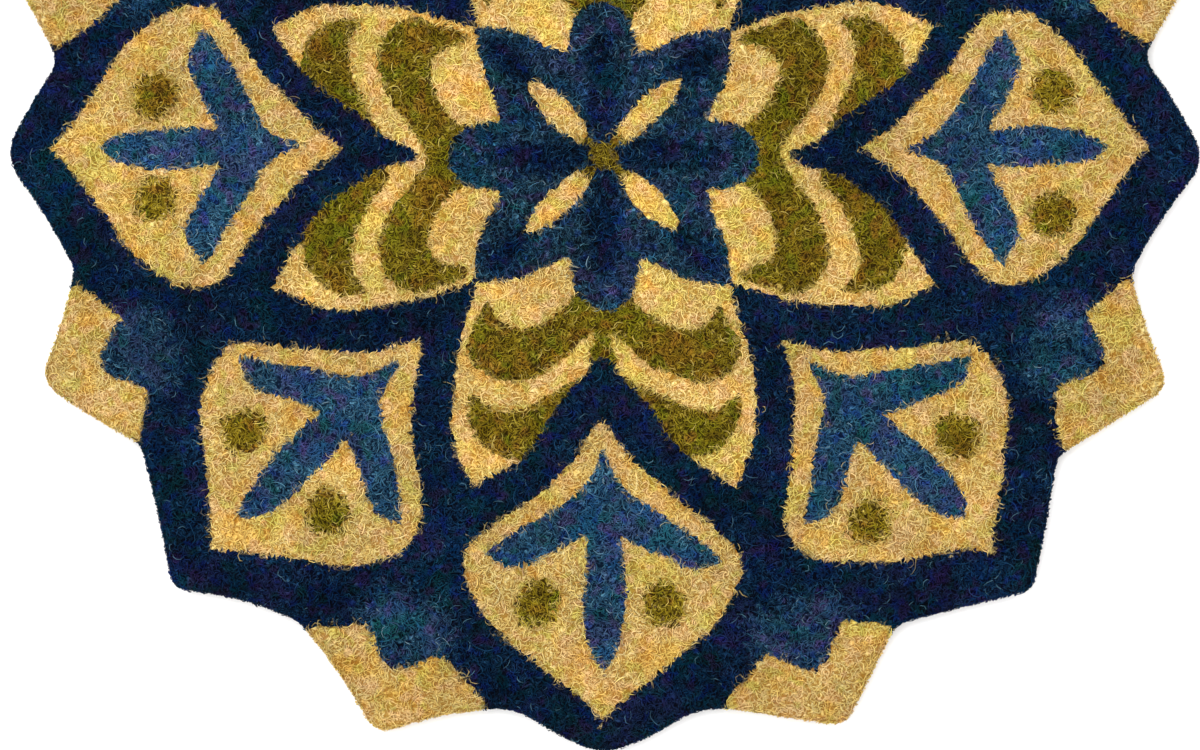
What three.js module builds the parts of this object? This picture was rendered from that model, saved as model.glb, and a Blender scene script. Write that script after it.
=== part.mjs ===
// A flat, shaped doormat of coir, about 70 cm across and 15 mm thick.
// It is one slab of short, dense cut pile, die-cut to a scalloped outline: eight round lobes
// with eight smaller corners between them. The underside is flat and the pile above it flares
// a little, rounds off at its upper edge and is softly uneven on top.
// Millimetres, +Z up. The origin is the centre of the underside. +Y is the mat's far side.

import * as THREE from "three";

// Driving dimensions
const PILE_TOP = 15;
const PILE_UNEVENNESS = 0.45;
const UNEVENNESS_LENGTH = { along: 31, across: 26, slanting: 38 };
const STEPS_ROUND_A_CORNER = 5;
const STEPS_ALONG_AN_EDGE = 4;

// The cut edge, clockwise from the far right-hand corner round the near side to the far left-hand
// corner.
// at: degrees clockwise from +X, seen from above. reach: the unrounded corner's distance from the
// centre. ease: how far along each edge its rounding starts. bow: how far the middle of the edge
// to the next corner is drawn in.
const CUT_EDGE = [
  { corner: "far small corner", at: -18.4, reach: 370, ease: 12, bow: 0 },
  { corner: "far notch", at: -10.5, reach: 323, ease: 9, bow: -1 },
  { corner: "right lobe", at: 0, reach: 354.5, ease: 15, bow: 1.8 },
  { corner: "notch", at: 12.5, reach: 317, ease: 7, bow: 1.2 },
  { corner: "small corner", at: 22.3, reach: 359, ease: 10, bow: 0 },
  { corner: "notch", at: 33.5, reach: 320, ease: 6, bow: -0.6 },
  { corner: "near right lobe", at: 45.3, reach: 359, ease: 7, bow: 0.2 },
  { corner: "notch", at: 58, reach: 324.5, ease: 8, bow: 0 },
  { corner: "small corner", at: 67, reach: 364, ease: 9, bow: 0 },
  { corner: "notch", at: 79.5, reach: 328.5, ease: 17, bow: -1 },
  { corner: "near lobe", at: 90, reach: 354.5, ease: 20, bow: -0.6 },
  { corner: "notch", at: 100, reach: 327.5, ease: 17, bow: 2 },
  { corner: "small corner", at: 111.5, reach: 364.5, ease: 9, bow: 2 },
  { corner: "notch", at: 123.5, reach: 326, ease: 9, bow: 2.8 },
  { corner: "near left lobe", at: 135, reach: 358.5, ease: 7, bow: 0.9 },
  { corner: "notch", at: 148, reach: 320.5, ease: 6, bow: -0.8 },
  { corner: "small corner", at: 158, reach: 357, ease: 13, bow: 1.6 },
  { corner: "notch", at: 168, reach: 317.5, ease: 7, bow: 1.3 },
  { corner: "left lobe", at: 180.3, reach: 353, ease: 16, bow: -0.5 },
  { corner: "far notch", at: 190, reach: 325.5, ease: 9, bow: 0 },
  { corner: "far small corner", at: 198, reach: 369, ease: 12, bow: 0 },
];
const ROWS_FAR_FROM_THE_MIRROR_LINE = 5;

// The pile's side, from the floor up. drawnIn: how far inside the widest outline it lies.
const SIDE = [
  { height: 0, drawnIn: 1.6 },
  { height: 2.2, drawnIn: 1.2 },
  { height: 8.5, drawnIn: 0 },
  { height: 12.2, drawnIn: 0.9 },
  { height: 14.1, drawnIn: 2.8 },
];

// The top's rings, as shares of the way from the centre to the edge.
const TOP_RINGS = [0.975, 0.9, 0.78, 0.65, 0.52, 0.39, 0.26, 0.13];

// The rest of the edge, between the two far small corners, is the near edge's mirror image.
function wholeEdge() {
  const kept = ROWS_FAR_FROM_THE_MIRROR_LINE;
  const mirrored = CUT_EDGE.slice(kept, -kept)
    .map((row, i) => ({ ...row, at: 360 - row.at, bow: CUT_EDGE[kept + i - 1].bow }))
    .reverse();
  return [...CUT_EDGE, ...mirrored];
}

function cornerPoint({ at, reach }) {
  const angle = THREE.MathUtils.degToRad(-at);
  return new THREE.Vector2(reach * Math.cos(angle), reach * Math.sin(angle));
}

// The point that lies a distance from one corner towards another.
function towards(from, to, distance) {
  return from.clone().add(to.clone().sub(from).setLength(distance));
}

// The widest outline, as bowed edges between rounded corners, counter-clockwise.
function outlinePoints() {
  const rows = wholeEdge().reverse();
  const corners = rows.map(cornerPoint);
  const points = [];
  rows.forEach((row, i) => {
    const nextRow = rows[(i + 1) % rows.length];
    const before = corners[(i + corners.length - 1) % corners.length];
    const after = corners[(i + 1) % corners.length];
    const start = towards(corners[i], before, row.ease);
    const end = towards(corners[i], after, row.ease);
    const bend = new THREE.QuadraticBezierCurve(start, corners[i], end);
    points.push(...bend.getPoints(STEPS_ROUND_A_CORNER));
    const nextStart = towards(after, corners[i], nextRow.ease);
    for (let step = 1; step < STEPS_ALONG_AN_EDGE; step += 1) {
      const share = step / STEPS_ALONG_AN_EDGE;
      const straight = end.clone().lerp(nextStart, share);
      const drawnIn = nextRow.bow * 4 * share * (1 - share);
      points.push(straight.setLength(straight.length() - drawnIn));
    }
  });
  return points;
}

// The soft rise and fall of the pile's top.
function pileRise(x, y) {
  const { along, across, slanting } = UNEVENNESS_LENGTH;
  const wave = Math.sin(x / along + 0.6) + Math.cos(y / across) + Math.sin((x - y) / slanting);
  return (PILE_UNEVENNESS * wave) / 3;
}

// Rings of the outline from the floor up the side and in over the top, each with the same
// number of points.
function slabRings(outline) {
  const side = SIDE.map(({ height, drawnIn }) =>
    outline.map((p) => {
      const inner = p.clone().setLength(p.length() - drawnIn);
      return [inner.x, inner.y, height];
    }),
  );
  const top = TOP_RINGS.map((share) =>
    outline.map((p) => [p.x * share, p.y * share, PILE_TOP + pileRise(p.x * share, p.y * share)]),
  );
  return [...side, ...top];
}

// One closed surface: the bands between the rings, the flat underside and the middle of the top.
function slabGeometry() {
  const outline = outlinePoints();
  const count = outline.length;
  const rings = slabRings(outline);
  const positions = rings.flat(2);
  const indices = [];
  for (let ring = 0; ring < rings.length - 1; ring += 1) {
    for (let i = 0; i < count; i += 1) {
      const a = ring * count + i;
      const b = ring * count + ((i + 1) % count);
      indices.push(a, b, b + count, a, b + count, a + count);
    }
  }
  const floorMiddle = rings.length * count;
  const topMiddle = floorMiddle + 1;
  const lastRing = (rings.length - 1) * count;
  positions.push(0, 0, 0, 0, 0, PILE_TOP + pileRise(0, 0));
  for (let i = 0; i < count; i += 1) {
    const next = (i + 1) % count;
    indices.push(floorMiddle, next, i);
    indices.push(topMiddle, lastRing + i, lastRing + next);
  }
  const geometry = new THREE.BufferGeometry();
  geometry.setAttribute("position", new THREE.Float32BufferAttribute(positions, 3));
  geometry.setIndex(indices);
  geometry.computeVertexNormals();
  return geometry;
}

function coirMat() {
  const coir = new THREE.MeshStandardMaterial({
    color: 0x1d3350,
    roughness: 0.95,
    metalness: 0,
  });
  const mat = new THREE.Mesh(slabGeometry(), coir);
  mat.name = "coir_pile_mat";
  return mat;
}

const doormat = new THREE.Group();
doormat.add(coirMat());

export default doormat;
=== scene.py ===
"""A shaped doormat of dyed coir, dressed strand by strand around its packed slab."""

import logging
import math
from collections.abc import Callable
from dataclasses import astuple, dataclass, field
from enum import Enum

import bpy
import numpy as np
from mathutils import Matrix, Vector, geometry
from mathutils.bvhtree import BVHTree


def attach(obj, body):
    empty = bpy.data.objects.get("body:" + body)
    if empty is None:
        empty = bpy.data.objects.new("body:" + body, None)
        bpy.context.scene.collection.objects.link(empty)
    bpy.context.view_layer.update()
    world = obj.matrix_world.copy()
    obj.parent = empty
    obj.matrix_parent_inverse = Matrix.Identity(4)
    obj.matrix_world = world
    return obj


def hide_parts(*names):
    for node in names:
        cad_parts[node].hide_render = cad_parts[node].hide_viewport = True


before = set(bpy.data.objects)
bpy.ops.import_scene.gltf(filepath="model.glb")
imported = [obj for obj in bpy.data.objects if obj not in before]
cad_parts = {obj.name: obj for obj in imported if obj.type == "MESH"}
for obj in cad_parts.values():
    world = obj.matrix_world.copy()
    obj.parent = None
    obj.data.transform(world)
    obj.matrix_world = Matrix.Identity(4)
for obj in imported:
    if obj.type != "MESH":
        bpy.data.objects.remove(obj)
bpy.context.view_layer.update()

LOG = logging.getLogger("doormat")
MM = 0.001
MAT_NODE = "coir_pile_mat"
BODY = "root"
SEED = 7

Colour = tuple[float, float, float]
Stretch = tuple[tuple[float, float], ...]
Painter = Callable[..., None]


class Dye(Enum):
    """The colours that the coir is dyed with, and the coir left natural."""

    NAVY = 0
    BLUE = 1
    TAN = 2
    OLIVE = 3


def from_screen(red: int, green: int, blue: int) -> Colour:
    """Turns a colour as a screen shows it, 0 to 255, into the linear light that a shader takes.

    Args:
        red: The screen's red.
        green: The screen's green.
        blue: The screen's blue.

    Returns:
        The same colour in linear light.
    """
    shares = (value / 255 for value in (red, green, blue))
    return tuple(s / 12.92 if s <= 0.04045 else ((s + 0.055) / 1.055) ** 2.4 for s in shares)


class NodeBench:
    """Lays out a material's nodes and wires them."""

    def __init__(self, name: str) -> None:
        """Starts a material with a bare surface shader.

        Args:
            name: The material's name.
        """
        self.material = bpy.data.materials.new(name)
        self.material.use_nodes = True
        self.tree = self.material.node_tree
        self.tree.nodes.clear()
        self.surface = self.add("ShaderNodeBsdfPrincipled")
        output = self.add("ShaderNodeOutputMaterial")
        self.join(self.surface.outputs["BSDF"], output.inputs["Surface"])
        self.place = self.add("ShaderNodeTexCoord").outputs["Object"]

    def add(self, kind: str, **settings: object) -> bpy.types.Node:
        """Adds a node.

        Args:
            kind: The node's type.
            settings: Attributes to set on it.

        Returns:
            The node.
        """
        node = self.tree.nodes.new(kind)
        for name, value in settings.items():
            setattr(node, name, value)
        return node

    def join(self, start: bpy.types.NodeSocket, end: bpy.types.NodeSocket) -> None:
        """Wires one socket to another."""
        self.tree.links.new(start, end)

    def put(self, socket: bpy.types.NodeSocket, value: object) -> None:
        """Wires a socket, or sets it where the value is a plain number or colour.

        Args:
            socket: The socket to feed.
            value: Another socket, a number or a colour.
        """
        if isinstance(value, bpy.types.NodeSocket):
            self.join(value, socket)
        elif isinstance(value, tuple) and len(value) == 3 and socket.type == "RGBA":
            socket.default_value = (*value, 1.0)
        else:
            socket.default_value = value

    def attribute(self, name: str, output: str = "Fac") -> bpy.types.NodeSocket:
        """Reads a named value from the mesh."""
        return self.add("ShaderNodeAttribute", attribute_name=name).outputs[output]

    def noise(self, scale: float, detail: float = 2.0) -> bpy.types.NodeSocket:
        """Makes a cloudy value.

        Args:
            scale: Clouds to the metre.
            detail: How many finer layers it has.

        Returns:
            The value's socket, about 0.5 on average.
        """
        node = self.add("ShaderNodeTexNoise")
        self.join(self.place, node.inputs["Vector"])
        node.inputs["Scale"].default_value = scale
        node.inputs["Detail"].default_value = detail
        return node.outputs["Fac"]

    def stretch(
        self, value: bpy.types.NodeSocket, low: float, high: float, start: float, end: float
    ) -> bpy.types.NodeSocket:
        """Maps a value's range on another range, held inside it.

        Args:
            value: The value.
            low: Where the old range starts.
            high: Where the old range ends.
            start: Where the new range starts.
            end: Where the new range ends.

        Returns:
            The mapped value's socket.
        """
        node = self.add("ShaderNodeMapRange")
        self.join(value, node.inputs["Value"])
        for name, number in (("From Min", low), ("From Max", high), ("To Min", start), ("To Max", end)):
            node.inputs[name].default_value = number
        return node.outputs["Result"]

    def mix(self, share: object, first: object, second: object, way: str = "MIX") -> bpy.types.NodeSocket:
        """Mixes two colours.

        Args:
            share: How much of the second one there is.
            first: The colour at share 0.
            second: The colour at share 1.
            way: How they mix.

        Returns:
            The mixed colour's socket.
        """
        node = self.add("ShaderNodeMix", data_type="RGBA", blend_type=way)
        colours = [socket for socket in node.inputs if socket.type == "RGBA"]
        self.put(node.inputs["Factor"], share)
        self.put(colours[0], first)
        self.put(colours[1], second)
        return next(socket for socket in node.outputs if socket.type == "RGBA")

    def shade(self, colour: bpy.types.NodeSocket, value: bpy.types.NodeSocket) -> bpy.types.NodeSocket:
        """Multiplies a colour by a value."""
        return self.mix(1.0, colour, self.grey(value), "MULTIPLY")

    def grey(self, value: bpy.types.NodeSocket) -> bpy.types.NodeSocket:
        """Turns a value into a grey of that brightness.

        Args:
            value: The value.

        Returns:
            The grey's socket.
        """
        node = self.add("ShaderNodeCombineColor")
        for name in ("Red", "Green", "Blue"):
            self.join(value, node.inputs[name])
        return node.outputs["Color"]

    def blend(
        self, share: bpy.types.NodeSocket, first: bpy.types.NodeSocket, second: bpy.types.NodeSocket
    ) -> bpy.types.NodeSocket:
        """Blends two values.

        Args:
            share: How much of the second one there is.
            first: The value at share 0.
            second: The value at share 1.

        Returns:
            The blended value's socket.
        """
        node = self.add("ShaderNodeMix", data_type="FLOAT")
        numbers = [socket for socket in node.inputs if socket.type == "VALUE"]
        for socket, value in zip(numbers, (share, first, second)):
            self.join(value, socket)
        return next(socket for socket in node.outputs if socket.type == "VALUE")

    def set_surface(self, values: dict[str, object]) -> None:
        """Feeds the shader's own sockets.

        Args:
            values: What each socket takes, by the socket's name.
        """
        for name, value in values.items():
            self.put(self.surface.inputs[name], value)

    def bump(self, height: bpy.types.NodeSocket, depth: float, strength: float) -> None:
        """Raises the surface by a value.

        Args:
            height: The value.
            depth: How high it stands, in metres.
            strength: How much it shows.
        """
        node = self.add("ShaderNodeBump")
        node.inputs["Distance"].default_value = depth
        node.inputs["Strength"].default_value = strength
        self.join(height, node.inputs["Height"])
        self.join(node.outputs["Normal"], self.surface.inputs["Normal"])


@dataclass(frozen=True)
class StrandFinish:
    """How coir strands of one dye look: their colours, their patches and their dull gleam."""

    name: str
    dark: Colour
    body: Colour
    light: Colour
    patches: tuple[Colour, Colour, Colour]
    spots: tuple[Colour, Colour, Colour]
    patch_strength: float
    mottle: float
    odd: Colour
    odd_share: float
    # painted shade: the bed's colour is multiplied by this in its pits, between the fibres
    pit: Colour
    # painted shade: how dark each strand is made at its root, where the pile around it shades it
    root_shade: float = 0.3
    gleam: float = 0.06
    sheen: float = 0.03
    sheen_roughness: float = 0.45
    roughness: tuple[float, float] = (0.68, 0.95)
    odd_strength: float = 0.75
    painted_shade_reach: float = 0.7
    cloud_scales: tuple[float, float, float] = (31.0, 47.0, 66.0)
    cloud_detail: float = 1.5
    cloud_edge: tuple[float, float] = (0.51, 0.63)
    spot_scales: tuple[float, float, float] = (96.0, 118.0, 143.0)
    spot_detail: float = 0.5
    spot_edge: tuple[float, float] = (0.6, 0.7)
    haze_scale: float = 36.0
    grain_scale: float = 2300.0
    grain_depth: float = 0.08 * MM

    def material(self) -> bpy.types.Material:
        """Makes the strands' material.

        Returns:
            A material that reads each strand's own tone, hue, dye strength and stain, and darkens each
            strand towards its root as painted shade.
        """
        bench = NodeBench(self.name)
        colour = self.toned(bench, bench.attribute("strand_tone"))
        colour = self.patched(bench, colour)
        hue = bench.attribute("strand_hue")
        odd = bench.stretch(hue, 1 - self.odd_share, 1 - self.odd_share / 2, 0.0, self.odd_strength)
        colour = bench.mix(odd, colour, self.odd)
        colour = bench.mix(bench.attribute("stain", "Alpha"), colour, bench.attribute("stain", "Color"))
        # the dye strength also carries the rim's painted shade
        strength = bench.stretch(bench.attribute("dye_strength_and_rim_shade"), 0.0, 1.0, 0.0, 2.0)
        along = bench.attribute("strand_along")
        # painted shade: darkens each strand from its root up, for the shade of the pile around it
        shade = bench.stretch(along, 0.0, self.painted_shade_reach, self.root_shade, 1.0)
        grain = bench.noise(self.grain_scale, detail=0.0)
        bench.set_surface(
            {
                "Base Color": bench.shade(bench.shade(colour, strength), shade),
                "Roughness": bench.stretch(grain, 0.3, 0.7, *self.roughness),
                "Specular IOR Level": self.gleam,
                "Specular Tint": self.light,
                "Sheen Weight": self.sheen,
                "Sheen Tint": self.light,
                "Sheen Roughness": self.sheen_roughness,
            }
        )
        bench.bump(grain, self.grain_depth, 0.5)
        return bench.material

    def toned(self, bench: NodeBench, tone: bpy.types.NodeSocket) -> bpy.types.NodeSocket:
        """Gives the dye's colour at a tone.

        Args:
            bench: The material's bench.
            tone: 0 for the darkest fibre, 1 for the lightest.

        Returns:
            The colour's socket.
        """
        low = bench.stretch(tone, 0.0, 0.5, 0.0, 1.0)
        high = bench.stretch(tone, 0.5, 1.0, 0.0, 1.0)
        return bench.mix(high, bench.mix(low, self.dark, self.body), self.light)

    def patched(self, bench: NodeBench, colour: bpy.types.NodeSocket) -> bpy.types.NodeSocket:
        """Clouds a colour with the hues that the dye took on in patches.

        Args:
            bench: The material's bench.
            colour: The colour.

        Returns:
            The clouded colour's socket.
        """
        clouds = (self.cloud_scales, self.patches, self.cloud_detail, self.cloud_edge)
        spots = (self.spot_scales, self.spots, self.spot_detail, self.spot_edge)
        for scales, hues, detail, (low, high) in (clouds, spots):
            for scale, hue in zip(scales, hues):
                share = bench.stretch(bench.noise(scale, detail), low, high, 0.0, self.patch_strength)
                colour = bench.mix(share, colour, hue)
        cloud = bench.noise(self.haze_scale)
        haze = bench.stretch(cloud, 0.34, 0.66, 1 - self.mottle, 1 + self.mottle)
        return bench.shade(colour, haze)


@dataclass(frozen=True)
class GroundFinish:
    """How the bed under the strands looks: fine curved fibres matted in several directions."""

    dyed: StrandFinish
    fibre_length: float = 9.0 * MM
    fibre_width: float = 1.45 * MM
    directions: tuple[float, ...] = (12.0, 58.0, 103.0, 149.0)
    curve: float = 0.0115
    curve_scale: float = 170.0
    relief: float = 1.1 * MM
    pit_depths: tuple[float, float] = (0.26, 0.64)
    roughness: tuple[float, float] = (0.97, 0.8)
    wear_scale: float = 45.0
    wear: tuple[float, float] = (0.86, 1.12)
    gleam: float = 0.05
    sheen: float = 0.02

    def material(self) -> bpy.types.Material:
        """Makes the bed's material for one dye.

        Returns:
            A material that mats fibre in the dye's colours, patches and stains, darkened in the pits
            between its fibres as painted shade.
        """
        bench = NodeBench("matted " + self.dyed.name)
        height, tone = self.matting(bench)
        colour = self.dyed.toned(bench, tone)
        colour = self.dyed.patched(bench, colour)
        colour = bench.mix(bench.attribute("stain", "Alpha"), colour, bench.attribute("stain", "Color"))
        # painted shade: darkens the bed where its fibres lie low, in the pits
        shaded_pits = bench.mix(1.0, colour, self.dyed.pit, "MULTIPLY")
        colour = bench.mix(bench.stretch(height, *self.pit_depths, 0.0, 1.0), shaded_pits, colour)
        strength = bench.stretch(bench.attribute("dye_strength_and_rim_shade"), 0.0, 1.0, 0.0, 2.0)
        wear = bench.stretch(bench.noise(self.wear_scale, detail=3.0), 0.35, 0.7, *self.wear)
        bench.set_surface(
            {
                "Base Color": bench.shade(bench.shade(colour, strength), wear),
                "Roughness": bench.stretch(height, 0.2, 0.9, *self.roughness),
                "Specular IOR Level": self.gleam,
                "Sheen Weight": self.sheen,
                "Sheen Tint": self.dyed.light,
            }
        )
        bench.bump(height, self.relief, 0.9)
        return bench.material

    def matting(self, bench: NodeBench) -> tuple[bpy.types.NodeSocket, bpy.types.NodeSocket]:
        """Lays fibres in each direction and keeps the topmost one everywhere.

        Args:
            bench: The material's bench.

        Returns:
            The topmost fibre's height and its own tone.
        """
        stir = bench.add("ShaderNodeTexNoise")
        bench.join(bench.place, stir.inputs["Vector"])
        stir.inputs["Scale"].default_value = self.curve_scale
        stir.inputs["Detail"].default_value = 1.0
        moved = bench.add("ShaderNodeVectorMath", operation="MULTIPLY_ADD")
        bench.join(stir.outputs["Color"], moved.inputs[0])
        moved.inputs[1].default_value = (self.curve, self.curve, self.curve)
        bench.join(bench.place, moved.inputs[2])
        place = moved.outputs["Vector"]
        top, top_tone = self.one_way(bench, place, self.directions[0])
        for direction in self.directions[1:]:
            height, tone = self.one_way(bench, place, direction)
            higher = bench.add("ShaderNodeMath", operation="GREATER_THAN")
            bench.join(height, higher.inputs[0])
            bench.join(top, higher.inputs[1])
            top = bench.blend(higher.outputs[0], top, height)
            top_tone = bench.blend(higher.outputs[0], top_tone, tone)
        return top, top_tone

    def one_way(
        self, bench: NodeBench, place: bpy.types.NodeSocket, direction: float
    ) -> tuple[bpy.types.NodeSocket, bpy.types.NodeSocket]:
        """Lays fibres that all run about one way.

        Args:
            bench: The material's bench.
            place: Where a point lies, stirred a little.
            direction: The fibres' angle from +X, in degrees.

        Returns:
            The fibres' height and each one's own tone.
        """
        turn = bench.add("ShaderNodeMapping", vector_type="TEXTURE")
        bench.join(place, turn.inputs["Vector"])
        turn.inputs["Rotation"].default_value = (0.0, 0.0, math.radians(direction))
        turn.inputs["Scale"].default_value = (self.fibre_length, self.fibre_width, self.fibre_width)
        cells = bench.add("ShaderNodeTexVoronoi")
        bench.join(turn.outputs["Vector"], cells.inputs["Vector"])
        cells.inputs["Scale"].default_value = 1.0
        own = bench.add("ShaderNodeSeparateColor")
        bench.join(cells.outputs["Color"], own.inputs["Color"])
        height = bench.add("ShaderNodeMath", operation="MULTIPLY")
        bench.join(bench.stretch(cells.outputs["Distance"], 0.1, 0.62, 1.0, 0.0), height.inputs[0])
        bench.join(bench.stretch(own.outputs["Red"], 0.0, 1.0, 0.4, 1.0), height.inputs[1])
        return height.outputs[0], own.outputs["Green"]


FINISHES = {
    Dye.NAVY: StrandFinish(
        name="navy dyed coir",
        dark=from_screen(6, 25, 44),
        body=from_screen(12, 38, 65),
        light=from_screen(30, 68, 100),
        patches=(from_screen(5, 54, 60), from_screen(36, 28, 76), from_screen(4, 33, 80)),
        spots=(from_screen(4, 46, 40), from_screen(46, 22, 68), from_screen(12, 26, 98)),
        patch_strength=0.5,
        mottle=0.3,
        odd=from_screen(74, 108, 124),
        odd_share=0.03,
        pit=(0.05, 0.05, 0.08),
    ),
    Dye.BLUE: StrandFinish(
        name="mid-blue dyed coir",
        dark=from_screen(29, 62, 88),
        body=from_screen(46, 88, 116),
        light=from_screen(86, 133, 156),
        patches=(from_screen(27, 103, 114), from_screen(70, 68, 122), from_screen(28, 78, 128)),
        spots=(from_screen(16, 90, 78), from_screen(86, 60, 122), from_screen(28, 58, 138)),
        patch_strength=0.55,
        mottle=0.24,
        odd=from_screen(128, 154, 168),
        odd_share=0.04,
        pit=(0.06, 0.08, 0.12),
    ),
    Dye.TAN: StrandFinish(
        name="natural tan coir",
        dark=from_screen(220, 183, 104),
        body=from_screen(236, 207, 125),
        light=from_screen(242, 222, 158),
        patches=(from_screen(226, 210, 98), from_screen(240, 194, 94), from_screen(242, 203, 150)),
        spots=(from_screen(234, 180, 84), from_screen(214, 204, 96), from_screen(240, 196, 142)),
        patch_strength=0.6,
        mottle=0.08,
        odd=from_screen(198, 134, 60),
        odd_share=0.04,
        pit=(0.42, 0.31, 0.17),
        root_shade=0.66,
        gleam=0.1,
        sheen=0.05,
    ),
    Dye.OLIVE: StrandFinish(
        name="olive dyed coir",
        dark=from_screen(102, 83, 14),
        body=from_screen(140, 120, 26),
        light=from_screen(178, 158, 60),
        patches=(from_screen(118, 121, 18), from_screen(152, 106, 30), from_screen(108, 92, 16)),
        spots=(from_screen(110, 122, 24), from_screen(146, 98, 34), from_screen(92, 74, 20)),
        patch_strength=0.6,
        mottle=0.14,
        odd=from_screen(200, 179, 96),
        odd_share=0.05,
        pit=(0.12, 0.1, 0.1),
        root_shade=0.36,
        gleam=0.1,
        sheen=0.04,
    ),
}


def smooth_line(stretches: tuple[Stretch, ...], steps: int = 5) -> np.ndarray:
    """Draws a line that runs smoothly along each stretch and may turn sharply between them.

    Args:
        stretches: The points of each stretch. Those of a stretch of one or two stay as they are.
        steps: How many pieces each gap between points is drawn in.

    Returns:
        The line's points, one row each.
    """
    drawn: list[np.ndarray] = []
    for stretch in stretches:
        points = np.array(stretch, float)
        if len(points) < 3:
            drawn.extend(points)
            continue
        padded = np.vstack([2 * points[0] - points[1], points, 2 * points[-1] - points[-2]])
        for i in range(1, len(padded) - 2):
            a, b, c, d = padded[i - 1 : i + 3]
            for t in np.arange(steps) / steps:
                bend = 2 * b + (c - a) * t + (2 * a - 5 * b + 4 * c - d) * t**2
                drawn.append((bend + (3 * b - a - 3 * c + d) * t**3) / 2)
        drawn.append(points[-1])
    return np.array(drawn)


def motif(*stretches: Stretch) -> np.ndarray:
    """Gives a class a motif's outline as one of its sizes, drawn from its stretches."""
    return field(default_factory=lambda: smooth_line(stretches))


def inside(points: np.ndarray, loop: np.ndarray | Stretch) -> np.ndarray:
    """Tests which points lie inside a closed loop.

    Args:
        points: One row for each point.
        loop: The loop's corners, one row each.

    Returns:
        True for each point inside.
    """
    x, y = points[:, 0], points[:, 1]
    found = np.zeros(len(points), bool)
    for (ax, ay), (bx, by) in zip(loop, np.roll(loop, -1, axis=0)):
        if ay == by:
            continue
        crosses = (ay > y) != (by > y)
        found ^= crosses & (x < (bx - ax) * (y - ay) / (by - ay) + ax)
    return found


@dataclass(frozen=True)
class Placing:
    """How one repeat of a motif sits by hand: moved, narrowed or shortened.

    Each aside, which is counter-clockwise, and out are in millimetres. The others are shares of the
    usual size.
    """

    aside: float = 0.0
    out: float = 0.0
    width: float = 1.0
    length: float = 1.0
    sprig_aside: float = 0.0
    sprig_length: float = 1.0
    arm_width: float = 1.0
    dots_aside: float = 0.0
    dots_apart: float = 1.0


@dataclass(frozen=True)
class Leaf:
    """A slender leaf along a line: where it starts and ends, and how wide half of it is."""

    start: float
    end: float
    half_width: float
    pointedness: float = 0.5

    def share(self, along: np.ndarray) -> np.ndarray:
        """Gives how far along the leaf each place lies, from 0 to 1."""
        return np.clip((along - self.start) / (self.end - self.start), 0, 1)

    def holds(self, beside: np.ndarray, along: np.ndarray) -> np.ndarray:
        """Tests which places lie on the leaf.

        Args:
            beside: How far each place lies beside the leaf's line.
            along: How far along that line it lies.

        Returns:
            True for each place on the leaf.
        """
        share = self.share(along)
        width = self.half_width * np.clip(np.sin(math.pi * share), 0, 1) ** self.pointedness
        return (beside < width) & (share > 0) & (share < 1)


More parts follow.
